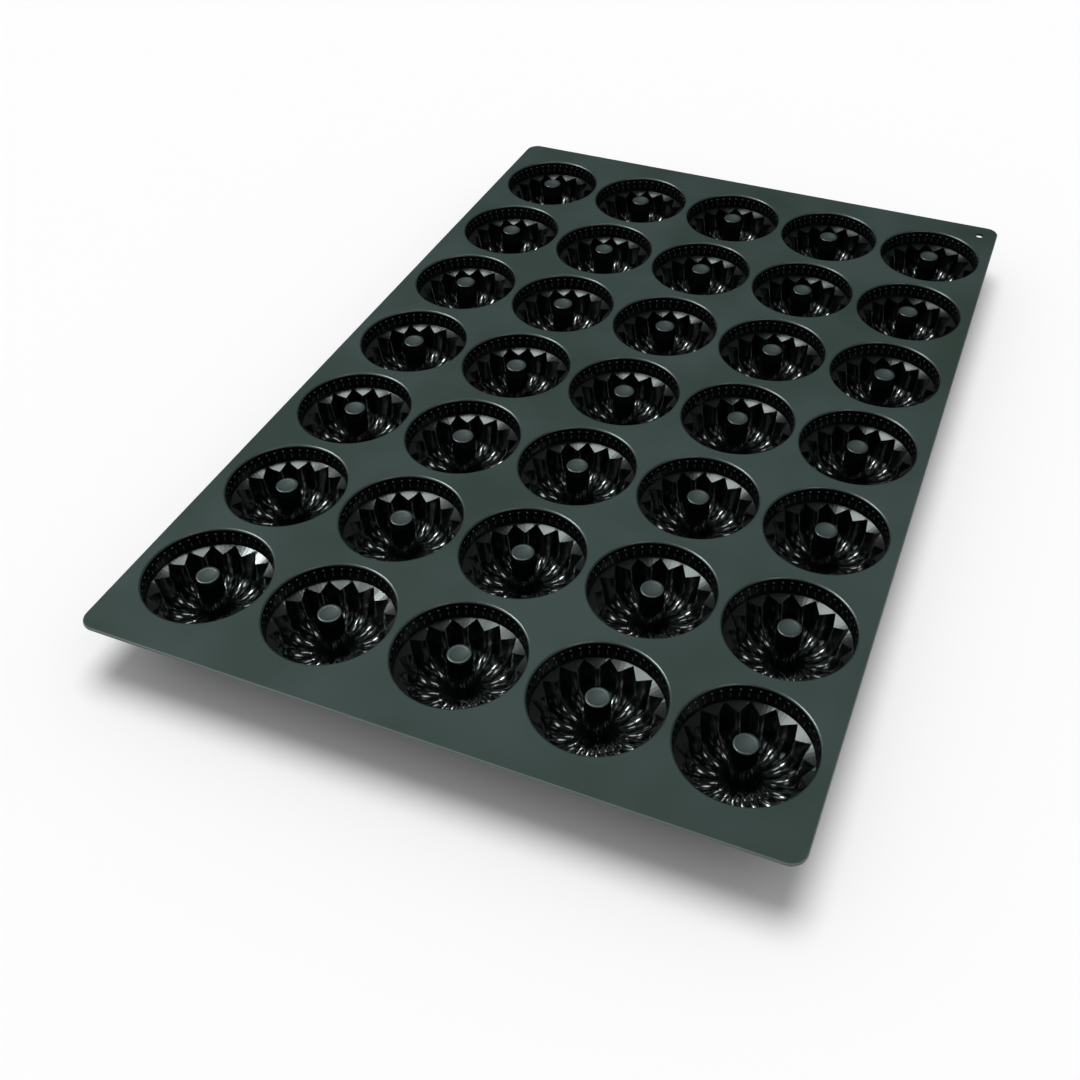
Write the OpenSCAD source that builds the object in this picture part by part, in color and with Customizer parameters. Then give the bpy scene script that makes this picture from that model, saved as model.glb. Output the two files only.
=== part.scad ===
// Mould for small fluted ring cakes: one soft moulded sheet with rows of fluted ring cups, as it lies
// on a table. Millimetres, +Z up, the sheet centred on the origin and its cups standing on z = 0.

/* [Sheet] */
// length of the sheet, along Y
sheet_length = 600; // [300:1:700]
// width of the sheet, along X
sheet_width = 400; // [200:1:500]
// thickness of the sheet between the cups
sheet_thickness = 2; // [1.6:0.1:3]
// radius of the sheet's four corners
sheet_corner_radius = 9; // [6:0.5:12]
// diameter of the hanging hole in the back right corner
hang_hole_diameter = 6; // [4:0.5:7]
// distance of the hanging hole from the right edge
hang_hole_side_inset = 13; // [10:0.5:16]
// distance of the hanging hole from the back edge
hang_hole_back_inset = 13.5; // [10:0.5:16]

/* [Layout] */
// flat sheet left between neighbouring mouths, left to right
gap_across = 3.4; // [2.6:0.1:3.6]
// flat sheet left between neighbouring mouths, front to back
gap_along = 6.4; // [3:0.1:10]
// least flat sheet left outside the outermost mouths
sheet_margin = 6; // [5.5:0.1:6.6]

/* [Cup] */
// radius of a cup's mouth at the top of the collar
mouth_radius = 36.3; // [32:0.1:36.8]
// rounding between the collar and the sheet's top
lip_radius = 1; // [0.4:0.1:1.2]
// depth from the sheet's top to the floor of the channel
cavity_depth = 35; // [32:0.5:42]
// thickness of the wall round and under a cup
cup_wall = 2; // [1.5:0.1:2.4]
// height of the smooth collar above the flutes
collar_height = 11; // [8:0.5:13]
// lean of the wall from upright, in degrees
wall_draft = 7; // [4:0.5:9]
// radius between the wall and the floor of the channel
bend_radius = 13.5; // [11:0.5:15]
// radius between the floor of the channel and the tube
root_radius = 6; // [4:0.5:7]

/* [Flutes] */
// flutes round one cup
flute_count = 16; // [8:1:18]
// how far a ridge stands in from the valleys beside it, at the foot of the collar
ridge_height = 6.2; // [2:0.1:7]
// how far a ridge stands up from the floor of the channel
ridge_floor_height = 3.2; // [1.5:0.1:4]
// level step left between the valleys and the collar
valley_step = 0.3; // [0.2:0.05:0.6]

/* [Tube] */
// radius of the tube at its top
tube_top_radius = 6.9; // [6:0.1:8]
// how far the tube's top lies below the sheet's top
tube_top_drop = 0.5; // [0.2:0.1:2]
// rounding of the tube's top edge
tube_edge_radius = 0.8; // [0.3:0.1:1.2]
// radius of the shallow dish in the tube's top
tube_dish_radius = 4.7; // [3:0.1:4.8]
// depth of the shallow dish
tube_dish_depth = 0.4; // [0.2:0.1:0.8]

/* [Hidden] */
$fn = 48;

// the layout: as many cups each way as the sheet takes
mouth_width = 2 * (mouth_radius + lip_radius);
pitch_across = mouth_width + gap_across;
pitch_along = mouth_width + gap_along;
cups_across = floor((sheet_width - 2 * sheet_margin - mouth_width) / pitch_across) + 1;
cup_rows = floor((sheet_length - 2 * sheet_margin - mouth_width) / pitch_along) + 1;

// heights above the table
top_z = cavity_depth + cup_wall;
lip_z = top_z - lip_radius;
ledge_z = top_z - collar_height;
sheet_z = top_z - sheet_thickness;
sheet_middle_z = top_z - sheet_thickness / 2;
tube_top_z = top_z - tube_top_drop;
bend_z = cup_wall + bend_radius;
root_z = cup_wall + root_radius;

// the leaning wall and the two bends of the channel
function wall_radius(z) = mouth_radius - (lip_z - z) * tan(wall_draft);
channel_radius = wall_radius(bend_z) - bend_radius / cos(wall_draft);
foot_radius = channel_radius - root_radius;
function tube_radius(z) =
    tube_top_radius + (tube_top_z - z) * (foot_radius - tube_top_radius) / (tube_top_z - root_z);

// an arc in a profile, as points from one angle to another round a centre
function arc(centre, radius, from, to, step) =
    [for (a = [from : step : to]) centre + radius * [cos(a), sin(a)]];

// the valleys of the flutes from the ledge down to the floor: radius and height
flute_top_z = ledge_z + 1;
half_bend = (wall_draft + 90) / 2;
valley_line = [
    [wall_radius(flute_top_z) - valley_step, flute_top_z],
    [channel_radius - valley_step + bend_radius * cos(wall_draft), bend_z - bend_radius * sin(wall_draft)],
    [channel_radius - valley_step + bend_radius * cos(half_bend), bend_z - bend_radius * sin(half_bend)],
    [channel_radius - valley_step, cup_wall]
];
crest_share = 1 - ridge_height / wall_radius(ledge_z);
floor_rise = [0, 0, 0, ridge_floor_height];
fan_z = root_z;

// one ring of the flutes: crests on the even points, valleys on the odd ones
function flute_ring(j) = [
    for (i = [0 : 2 * flute_count - 1])
        let (crest = i % 2 == 0, a = i * 180 / flute_count)
        let (r = valley_line[j][0] * (crest ? crest_share : 1))
        [r * cos(a), r * sin(a), valley_line[j][1] + (crest ? floor_rise[j] : 0)]
];

// the fluted hollow below the collar, lofted through its rings and closed in a fan on the axis
module flutes() {
    m = 2 * flute_count;
    last = len(valley_line) - 1;
    points = concat([for (j = [0 : last]) each flute_ring(j)], [[0, 0, fan_z]]);
    lid = [for (i = [m - 1 : -1 : 0]) i];
    upper = [for (j = [0 : last - 1]) for (i = [0 : m - 1])
        [j * m + i, j * m + (i + 1) % m, (j + 1) * m + (i + 1) % m]];
    lower = [for (j = [0 : last - 1]) for (i = [0 : m - 1])
        [j * m + i, (j + 1) * m + (i + 1) % m, (j + 1) * m + i]];
    fan = [for (i = [0 : m - 1]) [last * m + i, last * m + (i + 1) % m, (last + 1) * m]];
    polyhedron(points, concat([lid], upper, lower, fan));
}

// the tube: rounded foot, leaning flank, rounded top edge and a shallow dish
module tube() {
    edge = [tube_top_radius - tube_edge_radius, tube_top_z - tube_edge_radius];
    rotate_extrude()
        polygon(concat(
            [[0, 0], [channel_radius, cup_wall - 1]],
            arc([channel_radius, root_z], root_radius, 255, 180, -15),
            arc(edge, tube_edge_radius, 0, 90, 30),
            [[tube_dish_radius, tube_top_z], [tube_dish_radius - 0.5, tube_top_z - tube_dish_depth]],
            [[0, tube_top_z - tube_dish_depth]]
        ));
}

// the smooth round of the collar, from the ledge up past the rounded lip
module collar() {
    rotate_extrude()
        polygon(concat(
            [[0, ledge_z], [wall_radius(ledge_z), ledge_z]],
            arc([mouth_radius + lip_radius, lip_z], lip_radius, 180, 90, -30),
            [[mouth_radius + lip_radius, top_z + 1], [0, top_z + 1]]
        ));
}

// all that is empty inside one cup
module cavity() {
    difference() {
        union() {
            collar();
            flutes();
        }
        tube();
    }
}

// the outside of one cup, filled, from its floor up into the sheet
module cup_body() {
    rotate_extrude()
        polygon(concat(
            [[0, 0], [channel_radius, 0]],
            arc([channel_radius, bend_z], bend_radius + cup_wall, 285, 345, 20),
            [[wall_radius(bend_z) + cup_wall, bend_z]],
            [[wall_radius(sheet_middle_z) + cup_wall, sheet_middle_z], [0, sheet_middle_z]]
        ));
}

// the hollow inside the tube, open below
module tube_hollow() {
    top = tube_top_z - tube_dish_depth - cup_wall;
    rotate_extrude()
        polygon(concat(
            [[0, -1], [channel_radius, -1]],
            arc([channel_radius, root_z], root_radius + cup_wall, 255, 180, -25),
            [[tube_radius(top) - cup_wall, top], [0, top]]
        ));
}

// the flat sheet that joins the cups
module sheet() {
    across = sheet_width / 2 - sheet_corner_radius;
    along = sheet_length / 2 - sheet_corner_radius;
    translate([0, 0, sheet_z])
        linear_extrude(height = sheet_thickness)
            union() {
                square([sheet_width, 2 * along], center = true);
                square([2 * across, sheet_length], center = true);
                for (x = [-1, 1])
                    for (y = [-1, 1])
                        translate([x * across, y * along])
                            circle(r = sheet_corner_radius);
            }
}

// puts its child at every cup's centre
module at_cups() {
    for (row = [0 : cup_rows - 1])
        for (column = [0 : cups_across - 1])
            translate([
                (column - (cups_across - 1) / 2) * pitch_across,
                (row - (cup_rows - 1) / 2) * pitch_along,
                0
            ])
                children();
}

// the whole mould: sheet and cups in one skin
module mould() {
    color("DarkSlateGray")
        difference() {
            union() {
                sheet();
                at_cups() cup_body();
            }
            at_cups() cavity();
            at_cups() tube_hollow();
            translate([
                sheet_width / 2 - hang_hole_side_inset,
                sheet_length / 2 - hang_hole_back_inset,
                sheet_z - 1
            ])
                cylinder(d = hang_hole_diameter, h = sheet_thickness + 2);
        }
}

mould();
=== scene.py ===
"""Looks of a soft baking mould for small fluted ring cakes.

The mould is one moulded piece: a thin satin sheet that joins rows of polished cups, each with a
smooth collar, a ring of pointed flutes and a tube in its middle. The mesh follows the sizes of the
solid part, in metres, with the sheet's centre over the origin and the cups standing on z = 0.
"""

import logging
import math
from dataclasses import dataclass, field
from enum import Enum

import bmesh
import bpy
from mathutils import Matrix, Vector


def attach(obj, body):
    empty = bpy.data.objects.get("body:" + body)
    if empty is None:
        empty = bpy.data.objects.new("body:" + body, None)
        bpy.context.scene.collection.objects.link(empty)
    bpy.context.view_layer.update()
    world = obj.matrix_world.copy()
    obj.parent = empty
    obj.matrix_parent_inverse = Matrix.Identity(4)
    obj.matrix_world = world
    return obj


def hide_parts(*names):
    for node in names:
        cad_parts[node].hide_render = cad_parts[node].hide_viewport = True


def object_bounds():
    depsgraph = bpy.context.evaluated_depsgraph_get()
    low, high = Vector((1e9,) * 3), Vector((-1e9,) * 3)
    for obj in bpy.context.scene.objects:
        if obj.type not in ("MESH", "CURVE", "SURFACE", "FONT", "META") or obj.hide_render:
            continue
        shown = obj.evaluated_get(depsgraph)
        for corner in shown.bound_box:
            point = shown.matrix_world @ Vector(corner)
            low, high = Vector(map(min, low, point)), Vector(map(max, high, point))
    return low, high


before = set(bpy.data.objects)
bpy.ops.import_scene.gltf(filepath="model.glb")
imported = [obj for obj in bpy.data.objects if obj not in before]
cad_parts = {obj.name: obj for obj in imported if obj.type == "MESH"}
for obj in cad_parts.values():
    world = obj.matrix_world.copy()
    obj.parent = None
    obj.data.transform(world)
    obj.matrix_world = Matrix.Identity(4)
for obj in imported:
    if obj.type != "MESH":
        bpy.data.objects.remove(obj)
LOADED_BOX = [list(corner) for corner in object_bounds()]

LOG = logging.getLogger("ring_cake_mould")
MM = 0.001

# The sheet's thickness in millimetres. The cups' outer walls start this far below its top.
SHEET_THICKNESS = 2.0

# Distances in millimetres within which points are merged, in the sheet and where the cups join it.
SHEET_WELD = 0.001
CUP_WELD = 0.002

# Points round a plain ring, and steps along the arcs in a section.
ROUND_SIDES = 32
LIP_STEPS = 2
BEND_STEPS = 7
FOOT_STEPS = 6
EDGE_STEPS = 3
CORNER_STEPS = 12

# Angles below level, in degrees, of the rings on the underside's two arcs.
UNDERSIDE_BEND = (15, 35, 55, 75, 90)
UNDERSIDE_FOOT = (65, 40, 20, 0)

# A flute's points from one crest, at 0, over the valley, at 1, to the next crest, at 2.
FLUTE_SHARES = (0.0, 0.36, 0.72, 1.0, 1.28, 1.64)

# How round the ridges are at the ledge, at the top of the wall and on the floor. 1 gives straight flanks.
LEDGE_SWELL = 1.2
WALL_SWELL = 1.4
FLOOR_SWELL = 2.6

# A face this near to level counts as flat.
FLAT_LIMIT = 0.999

# Size of the sheet's drift of colour and height of the fine grain, in millimetres. The fade is the
# part of the noise's range that the drift runs over.
CLOUD_SIZE = 70.0
CLOUD_FADE = (0.35, 0.65)
GRAIN_HEIGHT = 0.1
GRAIN_DETAIL = 2.0

# Where a painted glint on the collar reaches full strength, as a share of the way from its middle to its
# edge.
GLINT_CORE = 0.5

LAMP_COLOR = (0.88, 1.0, 0.98)
PHOTO_WIDTH = 1080.0
SENSOR_WIDTH = 36.0


def solid_size(axis: int) -> float:
    """Size of the loaded solid along an axis, in millimetres to the nearest thousandth."""
    low, high = LOADED_BOX
    return round((high[axis] - low[axis]) / MM, 3)


class Skin(Enum):
    """The mould's kinds of surface, by how the tool that shaped them was finished."""

    SHEET = 0
    POLISHED = 1
    LEDGE = 2
    UNDERSIDE = 3
    TUBE_TOP = 4
    COLLAR = 5
    LIP = 6
    EDGE = 7


@dataclass(frozen=True)
class Finish:
    """How one kind of surface looks.

    Args:
        name: the material's name.
        color: base colour, linear RGB.
        roughness: mean roughness.
        specular: strength of the plain reflection.
        grain: size of the fine grain, in millimetres.
        grain_depth: strength of the fine grain's bump, 0 for none.
        cloud_color: a second base colour that drifts in over a few centimetres, or None.
    """

    name: str
    color: tuple[float, float, float]
    roughness: float
    specular: float = 0.5
    grain: float = 0.6
    grain_depth: float = 0.0
    cloud_color: tuple[float, float, float] | None = None

    def material(self) -> bpy.types.Material:
        """Builds the finish as a Principled material on Object coordinates.

        Returns:
            The new material.
        """
        mat = bpy.data.materials.new(self.name)
        mat.use_nodes = True
        tree = mat.node_tree
        shader = tree.nodes["Principled BSDF"]
        shader.inputs["Base Color"].default_value = (*self.color, 1.0)
        shader.inputs["Roughness"].default_value = self.roughness
        shader.inputs["Specular IOR Level"].default_value = self.specular
        if self.cloud_color is not None:
            coord = tree.nodes.new("ShaderNodeTexCoord")
            cloud = tree.nodes.new("ShaderNodeTexNoise")
            cloud.inputs["Scale"].default_value = 1.0 / (CLOUD_SIZE * MM)
            spread = tree.nodes.new("ShaderNodeMapRange")
            spread.inputs["From Min"].default_value = CLOUD_FADE[0]
            spread.inputs["From Max"].default_value = CLOUD_FADE[1]
            mix = tree.nodes.new("ShaderNodeMix")
            mix.data_type = "RGBA"
            mix.inputs["A"].default_value = (*self.color, 1.0)
            mix.inputs["B"].default_value = (*self.cloud_color, 1.0)
            tree.links.new(coord.outputs["Object"], cloud.inputs["Vector"])
            tree.links.new(cloud.outputs["Fac"], spread.inputs["Value"])
            tree.links.new(spread.outputs["Result"], mix.inputs["Factor"])
            tree.links.new(mix.outputs["Result"], shader.inputs["Base Color"])
        if self.grain_depth > 0:
            coord = tree.nodes.new("ShaderNodeTexCoord")
            noise = tree.nodes.new("ShaderNodeTexNoise")
            noise.inputs["Scale"].default_value = 1.0 / (self.grain * MM)
            noise.inputs["Detail"].default_value = GRAIN_DETAIL
            bump = tree.nodes.new("ShaderNodeBump")
            bump.inputs["Strength"].default_value = self.grain_depth
            bump.inputs["Distance"].default_value = GRAIN_HEIGHT * MM
            tree.links.new(coord.outputs["Object"], noise.inputs["Vector"])
            tree.links.new(noise.outputs["Fac"], bump.inputs["Height"])
            tree.links.new(bump.outputs["Normal"], shader.inputs["Normal"])
        return mat


@dataclass(frozen=True)
class GlintRow:
    """A row of painted highlights round a collar: small light glints where its bumps and ribs would catch the
    light.

    Args:
        count: marks in the row.
        height: height of the row's middle, in millimetres.
        reach: how far a mark reaches above and below that.
        share: how much of its step a mark is wide.
        strength: how light the painted glints are, from 0 to 1.
    """

    count: int
    height: float
    reach: float
    share: float
    strength: float


@dataclass(frozen=True)
class CollarGlintFinish(Finish):
    """The polished collar with painted highlights: rows of light glints where its small bumps and ribs would
    catch the light.

    Args:
        rows: the rows of painted glints.
        glint_color: the painted glints' colour, linear RGB.
    """

    rows: tuple[GlintRow, ...] = ()
    glint_color: tuple[float, float, float] = (0.16, 0.18, 0.175)

    def material(self) -> bpy.types.Material:
        """Builds the finish and paints the glints, as painted highlights, over its base colour.

        Returns:
            The new material.
        """
        mat = super().material()
        tree = mat.node_tree
        nodes, links = tree.nodes, tree.links
        place = nodes.new("ShaderNodeAttribute")
        place.attribute_name = "cup_place"
        split = nodes.new("ShaderNodeSeparateXYZ")
        links.new(place.outputs["Vector"], split.inputs["Vector"])

        def step(
            operation: str, first: bpy.types.NodeSocket, second: bpy.types.NodeSocket | float = 0.0
        ) -> bpy.types.NodeSocket:
            """Adds one Math node.

            Args:
                operation: the node's operation.
                first: its first input.
                second: its second input, a socket or a number.

            Returns:
                The node's result.
            """
            node = nodes.new("ShaderNodeMath")
            node.operation = operation
            links.new(first, node.inputs[0])
            if isinstance(second, float):
                node.inputs[1].default_value = second
            else:
                links.new(second, node.inputs[1])
            return node.outputs["Value"]

        def fade(value: bpy.types.NodeSocket, edge: float) -> bpy.types.NodeSocket:
            """Adds a soft edge: 1 well below the edge's value, 0 above it.

            Args:
                value: what is compared with the edge.
                edge: where the painted glint ends.

            Returns:
                The painted glint's strength, from 0 to 1.
            """
            node = nodes.new("ShaderNodeMapRange")
            links.new(value, node.inputs["Value"])
            node.inputs["From Min"].default_value = edge
            node.inputs["From Max"].default_value = edge * GLINT_CORE
            return node.outputs["Result"]

        turn = step("ARCTAN2", split.outputs["Y"], split.outputs["X"])
        total = None
        for row in self.rows:
            beat = step("FRACT", step("MULTIPLY", turn, row.count / (2 * math.pi)))
            aside = step("ABSOLUTE", step("SUBTRACT", beat, 0.5))
            above = step("ABSOLUTE", step("SUBTRACT", split.outputs["Z"], row.height * MM))
            # Each mark is a painted highlight: a light glint where the collar's bumps and ribs would catch
            # the light.
            mark = step("MULTIPLY", fade(aside, row.share / 2), fade(above, row.reach * MM))
            mark = step("MULTIPLY", mark, row.strength)
            total = mark if total is None else step("MAXIMUM", total, mark)
        # Lays the painted glints over the collar's own dark colour.
        blend = nodes.new("ShaderNodeMix")
        blend.data_type = "RGBA"
        links.new(total, blend.inputs["Factor"])
        blend.inputs["A"].default_value = (*self.color, 1.0)
        blend.inputs["B"].default_value = (*self.glint_color, 1.0)
        shader = nodes["Principled BSDF"]
        links.new(blend.outputs["Result"], shader.inputs["Base Color"])
        return mat


# Painted highlights on the collar: a row of light dots near its top and fainter streaks below, for light
# caught by bumps and ribs.
COLLAR_GLINTS = (
    GlintRow(count=44, height=33.6, reach=0.5, share=0.22, strength=1.0),
    GlintRow(count=47, height=29.9, reach=1.7, share=0.16, strength=0.25),
)

FINISHES: dict[Skin, Finish] = {
    Skin.SHEET: Finish(
        "satin silicone", (0.026, 0.043, 0.035), roughness=0.6, specular=0.1, grain_depth=0.12,
        cloud_color=(0.037, 0.057, 0.054),
    ),
    # Painted shade: the cups' walls and flutes, the collar and the ledge are the sheet's silicone coloured
    # near black for the shade in the hollows.
    Skin.POLISHED: Finish("polished silicone in painted shade", (0.001, 0.0016, 0.0015), roughness=0.19, specular=1.0),
    Skin.COLLAR: CollarGlintFinish(
        "collar silicone in painted shade with painted glints", (0.0015, 0.0022, 0.002), roughness=0.25, specular=0.4, rows=COLLAR_GLINTS,
    ),
    Skin.LEDGE: Finish("glossy silicone ledge in painted shade", (0.004, 0.006, 0.0055), roughness=0.2, specular=1.0),
    Skin.UNDERSIDE: Finish(
        "satin silicone underside", (0.018, 0.026, 0.024), roughness=0.5, grain_depth=0.12,
    ),
    Skin.LIP: Finish("silicone lip", (0.022, 0.036, 0.033), roughness=0.35, specular=0.6),
    # Painted highlight: the sheet's edge band is coloured lighter than the sheet for the light line along its
    # edge.
    Skin.EDGE: Finish("silicone edge with painted highlight", (0.10, 0.12, 0.115), roughness=0.6, specular=0.3),
    Skin.TUBE_TOP: Finish(
        "sanded silicone", (0.033, 0.048, 0.045), roughness=0.6, specular=0.25, grain=0.9, grain_depth=0.6,
    ),
}


def round_angles(sides: int = ROUND_SIDES) -> list[float]:
    """Lists the angles of evenly spaced points round a circle."""
    return [2 * math.pi * k / sides for k in range(sides)]


def circle(radius: float, angles: list[float], x: float = 0.0, y: float = 0.0) -> list[tuple[float, float]]:
    """Lists the points of a circle round (x, y) at the given angles."""
    return [(x + radius * math.cos(a), y + radius * math.sin(a)) for a in angles]


def add_object(name: str, data: bpy.types.ID) -> bpy.types.Object:
    """Adds an object to the scene.

    Args:
        name: the object's name.
        data: its mesh, lamp or camera.

    Returns:
        The new object.
    """
    thing = bpy.data.objects.new(name, data)
    bpy.context.scene.collection.objects.link(thing)
    return thing


@dataclass(frozen=True)
class FluteRow:
    """One ring of the flutes.

    Args:
        valley: radius and height in a valley, in millimetres.
        crest: radius and height on a crest, in millimetres.
        swell: 1 for straight flanks, more for rounder ridges.
    """

    valley: tuple[float, float]
    crest: tuple[float, float]
    swell: float


class RingBuilder:
    """Collects rings of points round the Z axis and the faces between them."""

    def __init__(self, angles: list[float]) -> None:
        """Starts an empty mesh.

        Args:
            angles: angles of the points in a ring, until others are set.
        """
        self.points: list[tuple[float, float, float]] = []
        self.faces: list[tuple[int, ...]] = []
        self.skins: list[int] = []
        self.sharp: set[tuple[int, int]] = set()
        self.angles = angles

    def round_ring(self, radius: float, height: float) -> list[int]:
        """Adds a round ring.

        Args:
            radius: the ring's radius, in millimetres.
            height: its height.

        Returns:
            The numbers of the ring's points.
        """
        start = len(self.points)
        self.points += [(x * MM, y * MM, height * MM) for x, y in circle(radius, self.angles)]
        return list(range(start, len(self.points)))

    def flute_ring(self, row: FluteRow) -> list[int]:
        """Adds a ring that runs over crests and through valleys in turn.

        Args:
            row: the ring's crests and valleys.

        Returns:
            The numbers of the ring's points.
        """
        start = len(self.points)
        for k, a in enumerate(self.angles):
            share = FLUTE_SHARES[k % len(FLUTE_SHARES)]
            rise = 1 - min(share, 2 - share) ** row.swell
            r = row.valley[0] + (row.crest[0] - row.valley[0]) * rise
            z = row.valley[1] + (row.crest[1] - row.valley[1]) * rise
            self.points.append((r * math.cos(a) * MM, r * math.sin(a) * MM, z * MM))
        return list(range(start, len(self.points)))

    def sharpen(self, outer: list[int], inner: list[int]) -> None:
        """Keeps the edges down the valleys crisp between two rings."""
        first, turn = FLUTE_SHARES.index(1.0), len(FLUTE_SHARES)
        self.sharp.update(zip(outer[first::turn], inner[first::turn]))

    def bridge(self, outer: list[int], inner: list[int], skin: Skin, inward: bool = True) -> list[int]:
        """Joins two rings with a band of faces.

        Args:
            outer: the ring that the band leaves.
            inner: the ring that the band reaches.
            skin: the band's kind of surface.
            inward: whether the band is seen from above and inside.

        Returns:
            The ring that the band reached.
        """
        n = len(outer)
        for i in range(n):
            j = (i + 1) % n
            quad = (outer[i], outer[j], inner[j], inner[i])
            self.faces.append(quad if inward else quad[::-1])
            self.skins.append(skin.value)
        return inner

    def cap(self, ring: list[int], skin: Skin, up: bool) -> None:
        """Closes a ring with a fan round a point on the axis.

        Args:
            ring: the ring to close.
            skin: the cap's kind of surface.
            up: whether the cap is seen from above.
        """
        centre = len(self.points)
        self.points.append((0.0, 0.0, self.points[ring[0]][2]))
        for i, a in enumerate(ring):
            b = ring[(i + 1) % len(ring)]
            self.faces.append((a, b, centre) if up else (b, a, centre))
            self.skins.append(skin.value)

    def finish(self, name: str) -> bpy.types.Mesh:
        """Makes the mesh.

        Args:
            name: the new mesh's name.

        Returns:
            The mesh, with attributes for each face's kind of surface and each point's place in the cup.
        """
        mesh = bpy.data.meshes.new(name)
        mesh.from_pydata(self.points, [], self.faces)
        mark = mesh.attributes.new("skin", "INT", "FACE")
        mark.data.foreach_set("value", self.skins)
        mesh.polygons.foreach_set("use_smooth", [skin != Skin.LEDGE.value for skin in self.skins])
        crisp = mesh.attributes.new("sharp_edge", "BOOLEAN", "EDGE")
        wanted = {tuple(sorted(pair)) for pair in self.sharp}
        crisp.data.foreach_set("value", [tuple(sorted(edge.vertices)) in wanted for edge in mesh.edges])
        place = mesh.attributes.new("cup_place", "FLOAT_VECTOR", "POINT")
        place.data.foreach_set("vector", [value for point in self.points for value in point])
        mesh.update()
        return mesh


@dataclass(frozen=True)
class CupForm:
    """One cup's section and flutes, in millimetres, and the mesh that they make.

    Args:
        top: height of the sheet's top.
        mouth_radius: radius at the top of the collar.
        lip_radius: rounding between the collar and the sheet's top.
        wall: thickness of the wall.
        collar_height: height of the smooth collar above the flutes.
        ledge_fall: how far the ledge falls towards the ridges' crests.
        draft: lean of the wall from upright, in degrees.
        bend_radius: radius between wall and floor.
        root_radius: radius between floor and tube.
        flutes: number of flutes.
        ridge_height: how far a ridge stands in from its valleys.
        ridge_floor: how far a ridge stands up from the floor.
        ridge_bend: radius of a ridge where the wall turns into the floor.
        valley_step: level step between the valleys and the collar.
        tube_top_radius: radius of the tube at its top.
        tube_drop: how far the tube's top lies below the sheet's.
        tube_edge: rounding of the tube's top edge.
        dish_radius: radius of the dish in the tube's top.
        dish_slope: how far the dish's side leans in.
        dish_depth: depth of the dish.
    """

    top: float = solid_size(2)
    mouth_radius: float = 36.3
    lip_radius: float = 1.0
    wall: float = 2.0
    collar_height: float = 11.0
    ledge_fall: float = 2.1
    draft: float = 7.0
    bend_radius: float = 13.5
    root_radius: float = 12.0
    flutes: int = 16
    ridge_height: float = 6.2
    ridge_floor: float = 3.2
    ridge_bend: float = 10.0
    valley_step: float = 0.3
    tube_top_radius: float = 6.6
    tube_drop: float = 0.5
    tube_edge: float = 0.5
    dish_radius: float = 4.7
    dish_slope: float = 0.5
    dish_depth: float = 0.4

    @property
    def ledge(self) -> float:
        """Height of the ledge at the foot of the collar."""
        return self.top - self.collar_height

    @property
    def channel(self) -> float:
        """Radius of the channel's lowest line."""
        height = self.wall + self.bend_radius
        return self.wall_radius(height) - self.bend_radius / math.cos(math.radians(self.draft))

    @property
    def tube_top(self) -> float:
        """Height of the tube's top."""
        return self.top - self.tube_drop

    def wall_radius(self, height: float) -> float:
        """Radius of the leaning wall at a height."""
        lean = math.tan(math.radians(self.draft))
        return self.mouth_radius - (self.top - self.lip_radius - height) * lean

    def tube_radius(self, height: float) -> float:
        """Gives the radius of the tube's flank.

        Args:
            height: the height, in millimetres.

        Returns:
            The radius there.
        """
        foot, root = self.channel - self.root_radius, self.wall + self.root_radius
        share = (self.tube_top - height) / (self.tube_top - root)
        return self.tube_top_radius + share * (foot - self.tube_top_radius)

    def ring_angles(self) -> list[float]:
        """Lists the angles of the points round a cup: a crest, its flank, a valley and the next flank."""
        half = math.pi / self.flutes
        return [half * (2 * k + share) for k in range(self.flutes) for share in FLUTE_SHARES]

    def flute_rows(self) -> list[FluteRow]:
        """Lists the flutes' rings from the ledge down the wall, over the floor and up the tube.

        Returns:
            The rings in that order.
        """
        d = math.radians(self.draft)
        v_z = self.wall + self.bend_radius
        v_c = self.wall_radius(v_z) - self.bend_radius / math.cos(d) - self.valley_step
        c_z = self.wall + self.ridge_floor + self.ridge_bend
        c_c = self.wall_radius(c_z) - self.ridge_height - self.ridge_bend / math.cos(d)
        outer = self.wall_radius(self.ledge) - self.valley_step
        inner = self.wall_radius(self.ledge) - self.ridge_height
        rows = [FluteRow((outer, self.ledge), (inner, self.ledge - self.ledge_fall), LEDGE_SWELL)]
        for k in range(BEND_STEPS + 1):
            a = d + (math.pi / 2 - d) * k / BEND_STEPS
            rows.append(FluteRow(
                (v_c + self.bend_radius * math.cos(a), v_z - self.bend_radius * math.sin(a)),
                (c_c + self.ridge_bend * math.cos(a), c_z - self.ridge_bend * math.sin(a)),
                WALL_SWELL + (FLOOR_SWELL - WALL_SWELL) * k / BEND_STEPS,
            ))
        root_z = self.wall + self.root_radius
        foot = self.tube_radius(root_z)
        for k in range(1, FOOT_STEPS + 1):
            t = math.pi / 2 * k / FOOT_STEPS
            left = 1 - k / FOOT_STEPS
            r, z = v_c - (v_c - foot) * math.sin(t), root_z - self.root_radius * math.cos(t)
            rows.append(FluteRow((r, z), (r + (c_c - v_c) * left, z + self.ridge_floor * left), FLOOR_SWELL))
        return rows

    def mesh(self, name: str) -> bpy.types.Mesh:
        """Builds one cup, standing on z = 0 round the Z axis, open where the sheet joins it.

        Args:
            name: the new mesh's name.

        Returns:
            The mesh, with its kind of surface on each face.
        """
        build = RingBuilder(self.ring_angles())
        self.add_hollow(build)
        build.angles = round_angles()
        self.add_underside(build)
        return build.finish(name)

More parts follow.
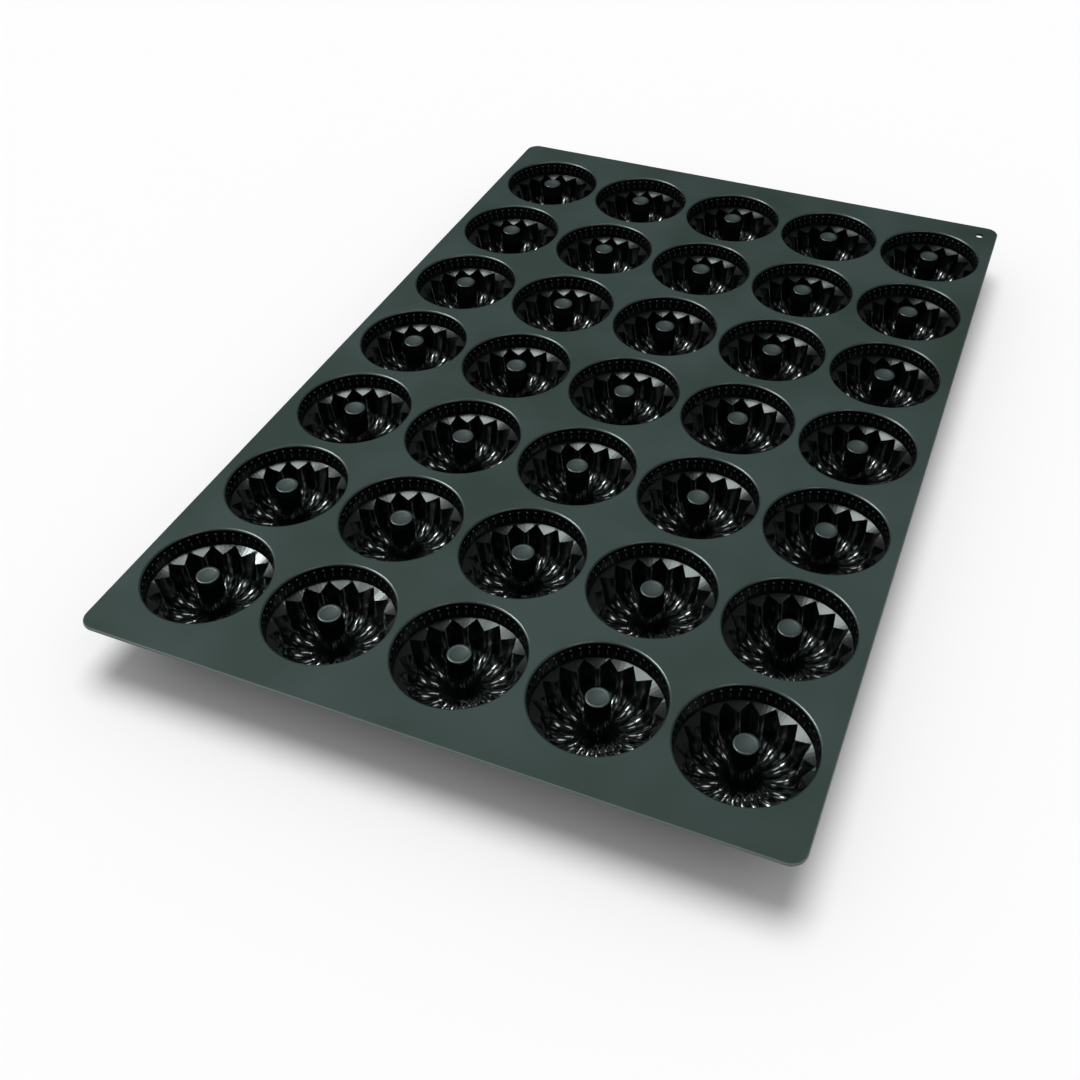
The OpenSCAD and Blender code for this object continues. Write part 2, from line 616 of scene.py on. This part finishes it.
    def add_hollow(self, build: RingBuilder) -> None:
        """Adds what is seen from above: the lip, the collar, the flutes, the tube and its dish.

        Args:
            build: the mesh that takes the rings.
        """
        rings = []
        lip_z = self.top - self.lip_radius
        for k in range(LIP_STEPS + 1):
            a = math.pi / 2 * (1 - k / LIP_STEPS)
            lip_r = self.mouth_radius + self.lip_radius * (1 - math.cos(a))
            rings.append((lip_r, lip_z + self.lip_radius * math.sin(a)))
        previous = build.round_ring(*rings[0])
        for r, z in rings[1:]:
            previous = build.bridge(previous, build.round_ring(r, z), Skin.LIP)
        foot = build.round_ring(self.wall_radius(self.ledge), self.ledge)
        previous = build.bridge(previous, foot, Skin.COLLAR)
        skin = Skin.LEDGE
        for row in self.flute_rows():
            ring = build.flute_ring(row)
            if skin is Skin.POLISHED:
                build.sharpen(previous, ring)
            previous = build.bridge(previous, ring, skin)
            skin = Skin.POLISHED
        edge_r, edge_z = self.tube_top_radius - self.tube_edge, self.tube_top - self.tube_edge
        for k in range(LIP_STEPS + 1):
            a = math.pi / 2 * k / LIP_STEPS
            r, z = edge_r + self.tube_edge * math.cos(a), edge_z + self.tube_edge * math.sin(a)
            previous = build.bridge(previous, build.round_ring(r, z), Skin.POLISHED if k == 0 else Skin.LIP)
        previous = build.bridge(previous, build.round_ring(self.dish_radius, self.tube_top), Skin.LIP)
        dish = build.round_ring(self.dish_radius - self.dish_slope, self.tube_top - self.dish_depth)
        previous = build.bridge(previous, dish, Skin.TUBE_TOP)
        build.cap(previous, Skin.TUBE_TOP, up=True)

    def add_underside(self, build: RingBuilder) -> None:
        """Adds the plain outside of the cup and the hollow in the tube, as seen from below.

        Args:
            build: the mesh that takes the rings.
        """
        z = self.top - SHEET_THICKNESS
        previous = build.round_ring(self.wall_radius(z) + self.wall, z)
        outer = [(self.wall_radius(self.wall + self.bend_radius) + self.wall, self.wall + self.bend_radius)]
        reach = self.bend_radius + self.wall
        for a in UNDERSIDE_BEND:
            t = math.radians(a)
            outer.append((self.channel + reach * math.cos(t), reach - reach * math.sin(t)))
        inner = self.root_radius + self.wall
        for a in UNDERSIDE_FOOT:
            t = math.radians(a)
            outer.append((self.channel - inner * math.cos(t), inner - inner * math.sin(t)))
        top = self.tube_top - self.dish_depth - self.wall
        outer.append((self.tube_radius(top) - self.wall, top))
        for r, z in outer:
            previous = build.bridge(previous, build.round_ring(r, z), Skin.UNDERSIDE, inward=False)
        build.cap(previous, Skin.UNDERSIDE, up=False)


@dataclass(frozen=True)
class SheetForm:
    """The flat sheet with its round holes for the cups, in millimetres.

    Args:
        length: along Y.
        width: along X.
        thickness: between the cups.
        corner_radius: of the four corners.
        edge_radius: rounding of the outer edge.
        hole_radius: of the hanging hole.
        hole_side_inset: from the right edge to the hanging hole.
        hole_back_inset: from the back edge to the hanging hole.
        cups_across: cups from left to right.
        cup_rows: cups from front to back.
        pitch_across: between cup centres, left to right.
        pitch_along: between cup centres, front to back.
    """

    length: float = solid_size(1)
    width: float = solid_size(0)
    thickness: float = SHEET_THICKNESS
    corner_radius: float = 9.0
    edge_radius: float = 0.5
    hole_radius: float = 3.0
    hole_side_inset: float = 13.0
    hole_back_inset: float = 13.5
    cups_across: int = 5
    cup_rows: int = 7
    pitch_across: float = 78.0
    pitch_along: float = 81.0

    @property
    def over_centres(self) -> tuple[float, float]:
        """Width and length between the outer cups' centres."""
        return (self.cups_across - 1) * self.pitch_across, (self.cup_rows - 1) * self.pitch_along

    def centres(self) -> list[tuple[float, float]]:
        """Lists the cups' centres, row by row from the front."""
        middle_c, middle_r = (self.cups_across - 1) / 2, (self.cup_rows - 1) / 2
        return [
            ((c - middle_c) * self.pitch_across, (r - middle_r) * self.pitch_along)
            for r in range(self.cup_rows)
            for c in range(self.cups_across)
        ]

    def hanging_hole(self, angles: list[float]) -> list[tuple[float, float]]:
        """Lists the points round the hanging hole at the given angles."""
        x, y = self.width / 2 - self.hole_side_inset, self.length / 2 - self.hole_back_inset
        return circle(self.hole_radius, angles, x, y)

    def outline(self, inset: float) -> list[tuple[float, float]]:
        """Lists the rounded outline's points, moved in by a distance, anticlockwise.

        Args:
            inset: distance in from the outline.

        Returns:
            The points' x and y.
        """
        r = self.corner_radius - inset
        points = []
        for turn, (sx, sy) in enumerate(((1, 1), (-1, 1), (-1, -1), (1, -1))):
            cx = sx * (self.width / 2 - self.corner_radius)
            cy = sy * (self.length / 2 - self.corner_radius)
            for k in range(CORNER_STEPS + 1):
                a = math.pi / 2 * (turn + k / CORNER_STEPS)
                points.append((cx + r * math.cos(a), cy + r * math.sin(a)))
        return points

    def face(
        self, work: bmesh.types.BMesh, height: float, hole: float, sides: list[float], up: bool, skin: Skin
    ) -> None:
        """Adds one flat face of the sheet, pierced for the cups and the hanging hole.

        Args:
            work: the mesh that takes the face.
            height: the face's height.
            hole: radius of the cups' holes in it.
            sides: angles of the points round such a hole.
            up: whether the face looks up.
            skin: its kind of surface.
        """
        loops = [self.outline(self.edge_radius)]
        loops += [circle(hole, sides, x, y) for x, y in self.centres()]
        loops.append(self.hanging_hole(round_angles()))
        edges = []
        for loop in loops:
            verts = [work.verts.new((x * MM, y * MM, height * MM)) for x, y in loop]
            edges += [work.edges.new((verts[i], verts[(i + 1) % len(verts)])) for i in range(len(verts))]
        made = bmesh.ops.triangle_fill(work, edges=edges, use_beauty=True, use_dissolve=False)
        layer = work.faces.layers.int["skin"]
        for piece in made["geom"]:
            if isinstance(piece, bmesh.types.BMFace):
                piece.normal_update()
                if (piece.normal.z > 0) != up:
                    piece.normal_flip()
                piece[layer] = skin.value

    def band(
        self, work: bmesh.types.BMesh, loops: list[list[tuple[float, float, float]]], skin: Skin
    ) -> None:
        """Adds the wall through closed loops of points, from the top one down.

        Args:
            work: the mesh that takes the wall.
            loops: the loops' points, anticlockwise for a wall seen from outside.
            skin: its kind of surface.
        """
        layer = work.faces.layers.int["skin"]
        rings = [[work.verts.new((x * MM, y * MM, z * MM)) for x, y, z in loop] for loop in loops]
        for upper, lower in zip(rings, rings[1:]):
            for i in range(len(upper)):
                j = (i + 1) % len(upper)
                work.faces.new((upper[i], lower[i], lower[j], upper[j]))[layer] = skin.value

    def mesh(self, name: str, cup: CupForm, top_sides: list[float]) -> bpy.types.Mesh:
        """Builds the sheet without its cups.

        Args:
            name: the new mesh's name.
            cup: the cup that its holes take.
            top_sides: angles of the points round a cup's mouth.

        Returns:
            The mesh, with its kind of surface on each face.
        """
        work = bmesh.new()
        work.faces.layers.int.new("skin")
        top, bottom = cup.top, cup.top - self.thickness
        self.face(work, top, cup.mouth_radius + cup.lip_radius, top_sides, True, Skin.SHEET)
        self.face(work, bottom, cup.wall_radius(bottom) + cup.wall, round_angles(), False, Skin.UNDERSIDE)
        loops = []
        turns = [math.pi / 2 * k / EDGE_STEPS for k in range(EDGE_STEPS + 1)]
        for a in turns:
            z = top - self.edge_radius * (1 - math.cos(a))
            loops.append([(x, y, z) for x, y in self.outline(self.edge_radius * (1 - math.sin(a)))])
        for a in turns:
            z = bottom + self.edge_radius * (1 - math.sin(a))
            loops.append([(x, y, z) for x, y in self.outline(self.edge_radius * (1 - math.cos(a)))])
        self.band(work, loops, Skin.EDGE)
        clockwise = [-a for a in round_angles()]
        hole = [[(x, y, z) for x, y in self.hanging_hole(clockwise)] for z in (top, bottom)]
        self.band(work, hole, Skin.SHEET)
        bmesh.ops.remove_doubles(work, verts=work.verts, dist=SHEET_WELD * MM)
        work.normal_update()
        for piece in work.faces:
            piece.smooth = abs(piece.normal.z) < FLAT_LIMIT
        mesh = bpy.data.meshes.new(name)
        work.to_mesh(mesh)
        work.free()
        return mesh


# The node tree's inputs for the layout: the socket's kind, and the input of the grid that takes the value.
LAYOUT_INPUTS = {
    "Cups across": ("NodeSocketInt", "Vertices X"),
    "Cup rows": ("NodeSocketInt", "Vertices Y"),
    "Width over centres": ("NodeSocketFloat", "Size X"),
    "Length over centres": ("NodeSocketFloat", "Size Y"),
}


@dataclass
class Mould:
    """The whole moulded piece: the sheet, and the cups set on it in rows by a node tree.

    Args:
        cup: one cup's form.
        sheet: the sheet's form and the cups' layout.
    """

    cup: CupForm = field(default_factory=CupForm)
    sheet: SheetForm = field(default_factory=SheetForm)

    def tree(self, cup: bpy.types.Object, materials: dict[Skin, bpy.types.Material]) -> bpy.types.NodeTree:
        """Builds the node tree that sets the cups in rows, joins them to the sheet and dresses them.

        Args:
            cup: the object that holds one cup.
            materials: the material of each kind of surface.

        Returns:
            The node tree, with named inputs for the layout.
        """
        tree = bpy.data.node_groups.new("cups in rows", "GeometryNodeTree")
        face = tree.interface
        face.new_socket("Geometry", in_out="OUTPUT", socket_type="NodeSocketGeometry")
        face.new_socket("Geometry", in_out="INPUT", socket_type="NodeSocketGeometry")
        for name, (kind, _) in LAYOUT_INPUTS.items():
            face.new_socket(name, in_out="INPUT", socket_type=kind)
        nodes, links = tree.nodes, tree.links
        given, out = nodes.new("NodeGroupInput"), nodes.new("NodeGroupOutput")
        grid = nodes.new("GeometryNodeMeshGrid")
        for name, (_, target) in LAYOUT_INPUTS.items():
            links.new(given.outputs[name], grid.inputs[target])
        info = nodes.new("GeometryNodeObjectInfo")
        info.inputs["Object"].default_value = cup
        copies = nodes.new("GeometryNodeInstanceOnPoints")
        links.new(grid.outputs["Mesh"], copies.inputs["Points"])
        links.new(info.outputs["Geometry"], copies.inputs["Instance"])
        real = nodes.new("GeometryNodeRealizeInstances")
        links.new(copies.outputs["Instances"], real.inputs["Geometry"])
        join = nodes.new("GeometryNodeJoinGeometry")
        links.new(real.outputs["Geometry"], join.inputs["Geometry"])
        links.new(given.outputs["Geometry"], join.inputs["Geometry"])
        weld = nodes.new("GeometryNodeMergeByDistance")
        weld.inputs["Distance"].default_value = CUP_WELD * MM
        links.new(join.outputs["Geometry"], weld.inputs["Geometry"])
        flow = weld.outputs["Geometry"]
        mark = nodes.new("GeometryNodeInputNamedAttribute")
        mark.data_type = "INT"
        mark.inputs["Name"].default_value = "skin"
        for skin, material in materials.items():
            same = nodes.new("FunctionNodeCompare")
            same.data_type = "INT"
            same.operation = "EQUAL"
            links.new(mark.outputs["Attribute"], same.inputs["A"])
            same.inputs["B"].default_value = skin.value
            dress = nodes.new("GeometryNodeSetMaterial")
            dress.inputs["Material"].default_value = material
            links.new(flow, dress.inputs["Geometry"])
            links.new(same.outputs["Result"], dress.inputs["Selection"])
            flow = dress.outputs["Geometry"]
        links.new(flow, out.inputs["Geometry"])
        return tree

    def build(self) -> bpy.types.Object:
        """Builds the mould as one plain mesh and lets it stand for the solid.

        Returns:
            The finished object.
        """
        materials = {skin: finish.material() for skin, finish in FINISHES.items()}
        cup = add_object("one_cup", self.cup.mesh("one_cup"))
        base = add_object("sheet", self.sheet.mesh("sheet", self.cup, self.cup.ring_angles()))
        modifier = base.modifiers.new("cups", "NODES")
        modifier.node_group = self.tree(cup, materials)
        width, length = self.sheet.over_centres
        counts = (self.sheet.cups_across, self.sheet.cup_rows)
        values = dict(zip(LAYOUT_INPUTS, (*counts, width * MM, length * MM)))
        for item in modifier.node_group.interface.items_tree:
            if item.name in values and item.in_out == "INPUT":
                modifier[item.identifier] = values[item.name]
        graph = bpy.context.evaluated_depsgraph_get()
        mesh = bpy.data.meshes.new_from_object(base.evaluated_get(graph))
        base.modifiers.remove(modifier)
        bpy.data.objects.remove(base)
        bpy.data.objects.remove(cup)
        piece = add_object("mould_skin", mesh)
        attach(piece, "root")
        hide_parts("mould")
        return piece


def towards(azimuth: float, elevation: float) -> Vector:
    """Gives a direction as a vector.

    Args:
        azimuth: the turn from +Y towards +X, in degrees.
        elevation: the height above the horizon, in degrees.

    Returns:
        The unit vector.
    """
    turn, rise = math.radians(azimuth), math.radians(elevation)
    return Vector((math.sin(turn) * math.cos(rise), math.cos(turn) * math.cos(rise), math.sin(rise)))


def facing_back(away: Vector) -> Matrix:
    """Gives the turn of a lamp that hangs in a direction and looks back along it."""
    return (-away).to_track_quat("-Z", "Y").to_matrix().to_4x4()


@dataclass(frozen=True)
class Softbox:
    """One softbox that looks at the sheet's centre.

    Args:
        name: the lamp's name.
        azimuth: its direction from the centre, in degrees from +Y towards +X.
        elevation: its height above the horizon, in degrees.
        width: its width in metres.
        height: its height in metres.
        power: its power in watts.
        distance: its distance in metres.
    """

    name: str
    azimuth: float
    elevation: float
    width: float
    height: float
    power: float
    distance: float = 3.0

    def hang(self, target: Vector) -> None:
        """Adds the lamp, which shows only in reflections: the window and the room light matt surfaces.

        Args:
            target: the point that it looks at, in metres.
        """
        data = bpy.data.lights.new(self.name, "AREA")
        data.shape = "ELLIPSE"
        data.size, data.size_y = self.width, self.height
        data.energy = self.power
        data.color = LAMP_COLOR
        data.cycles.max_bounces = 0
        lamp = add_object(self.name, data)
        away = towards(self.azimuth, self.elevation)
        lamp.matrix_world = Matrix.Translation(target + away * self.distance) @ facing_back(away)
        lamp.visible_diffuse = False


@dataclass(frozen=True)
class Studio:
    """The pale floor, the soft light and the camera.

    Args:
        eye: the camera's place, in millimetres from the sheet's centre at the sheet's top.
        azimuth: the camera's turn from looking along +Y, in degrees.
        elevation: its height above the horizon, in degrees.
        focal: focal length as a share of the picture's width.
        centre: where the camera's axis meets the picture, as shares of its width from the top left.
        clip: the nearest and farthest distance that the camera sees, in metres.
        top: the sheet's height, in millimetres.
        floor_reach: how far the floor reaches from the middle, in metres.
        floor_grey: the floor's colour, from 0 to 1.
        floor_roughness: the floor's roughness.
        room_light: the room's light on the floor and the object.
        room_glow: how bright the room is in reflections.
        sky_light: light from the wide window behind, which casts the soft shadow.
        sky_azimuth: that window's direction, in degrees from +Y towards +X.
        sky_elevation: its height above the horizon, in degrees.
        sky_width: how wide it looks, in degrees.
        softboxes: the lamps that make the highlights.
    """

    eye: tuple[float, float, float] = (232.61, -627.64, 511.48)
    azimuth: float = 21.53
    elevation: float = 39.551
    focal: float = 1277.24 / PHOTO_WIDTH
    centre: tuple[float, float] = (602.985 / PHOTO_WIDTH, 438.183 / PHOTO_WIDTH)
    clip: tuple[float, float] = (0.01, 50.0)
    top: float = solid_size(2)
    floor_reach: float = 9.0
    floor_grey: float = 0.9
    floor_roughness: float = 0.9
    room_light: float = 0.48
    room_glow: float = 0.05
    sky_light: float = 2.0
    sky_azimuth: float = -20.0
    sky_elevation: float = 76.0
    sky_width: float = 36.0
    softboxes: tuple[Softbox, ...] = (
        Softbox("high softbox", azimuth=-55, elevation=69, width=1.6, height=1.4, power=26),
        Softbox("left softbox", azimuth=-108, elevation=45, width=1.6, height=1.2, power=130),
        Softbox("front left softbox", azimuth=-150, elevation=43, width=1.2, height=0.9, power=5),
        Softbox("front right softbox", azimuth=135, elevation=44, width=1.2, height=0.9, power=20),
    )

    def floor(self) -> None:
        """Lays the pale floor, which takes the shadow."""
        mesh = bpy.data.meshes.new("floor")
        reach = self.floor_reach
        corners = [(-reach, -reach, 0), (reach, -reach, 0), (reach, reach, 0), (-reach, reach, 0)]
        mesh.from_pydata(corners, [], [(0, 1, 2, 3)])
        floor = add_object("floor", mesh)
        mat = bpy.data.materials.new("pale floor")
        mat.use_nodes = True
        shader = mat.node_tree.nodes["Principled BSDF"]
        shader.inputs["Base Color"].default_value = (self.floor_grey, self.floor_grey, self.floor_grey, 1.0)
        shader.inputs["Roughness"].default_value = self.floor_roughness
        shader.inputs["Specular IOR Level"].default_value = 0.0
        mesh.materials.append(mat)

    def room(self) -> None:
        """Sets the world: soft light on matt surfaces, a dim room in reflections and white for the camera."""
        world = bpy.data.worlds.new("studio")
        bpy.context.scene.world = world
        world.use_nodes = True
        nodes, links = world.node_tree.nodes, world.node_tree.links
        nodes.clear()
        out = nodes.new("ShaderNodeOutputWorld")
        path = nodes.new("ShaderNodeLightPath")
        flow = None
        for ray, strength in (
            (None, self.room_light), ("Is Glossy Ray", self.room_glow), ("Is Camera Ray", 1.0),
        ):
            light = nodes.new("ShaderNodeBackground")
            light.inputs["Color"].default_value = (1.0, 1.0, 1.0, 1.0)
            light.inputs["Strength"].default_value = strength
            if ray is None:
                flow = light.outputs["Background"]
                continue
            mix = nodes.new("ShaderNodeMixShader")
            links.new(path.outputs[ray], mix.inputs[0])
            links.new(flow, mix.inputs[1])
            links.new(light.outputs["Background"], mix.inputs[2])
            flow = mix.outputs["Shader"]
        links.new(flow, out.inputs["Surface"])

    def sky(self) -> None:
        """Adds the wide window behind: it lights matt surfaces evenly and shows in no reflection."""
        data = bpy.data.lights.new("window", "SUN")
        data.energy = self.sky_light
        data.angle = math.radians(self.sky_width)
        data.cycles.max_bounces = 1
        lamp = add_object("window", data)
        away = towards(self.sky_azimuth, self.sky_elevation)
        lamp.matrix_world = Matrix.Translation(away) @ facing_back(away)
        lamp.visible_glossy = False

    def camera(self) -> None:
        """Sets the camera where the photographer's stood."""
        data = bpy.data.cameras.new("camera")
        data.sensor_fit = "HORIZONTAL"
        data.sensor_width = SENSOR_WIDTH
        data.lens = SENSOR_WIDTH * self.focal
        data.shift_x = 0.5 - self.centre[0]
        data.shift_y = self.centre[1] - 0.5
        data.clip_start, data.clip_end = self.clip
        cam = add_object("camera", data)
        x, y, z = (v * MM for v in self.eye)
        place = Matrix.Translation((x, y, z + self.top * MM))
        turn = Matrix.Rotation(math.radians(self.azimuth), 4, "Z")
        tip = Matrix.Rotation(math.radians(90 - self.elevation), 4, "X")
        cam.matrix_world = place @ turn @ tip
        bpy.context.scene.camera = cam

    def build(self) -> None:
        """Builds the floor, the room's light, the lamps and the camera."""
        self.floor()
        self.room()
        self.sky()
        for box in self.softboxes:
            box.hang(Vector((0.0, 0.0, self.top * MM)))
        self.camera()


def main() -> None:
    """Builds the mould and its studio, and logs the mould's face count."""
    logging.basicConfig(level=logging.INFO, format="%(name)s: %(message)s")
    bpy.context.scene.view_settings.view_transform = "Standard"
    mould = Mould()
    piece = mould.build()
    LOG.info("%s: %d faces", piece.name, len(piece.data.polygons))
    Studio().build()


if __name__ == "__main__":
    main()
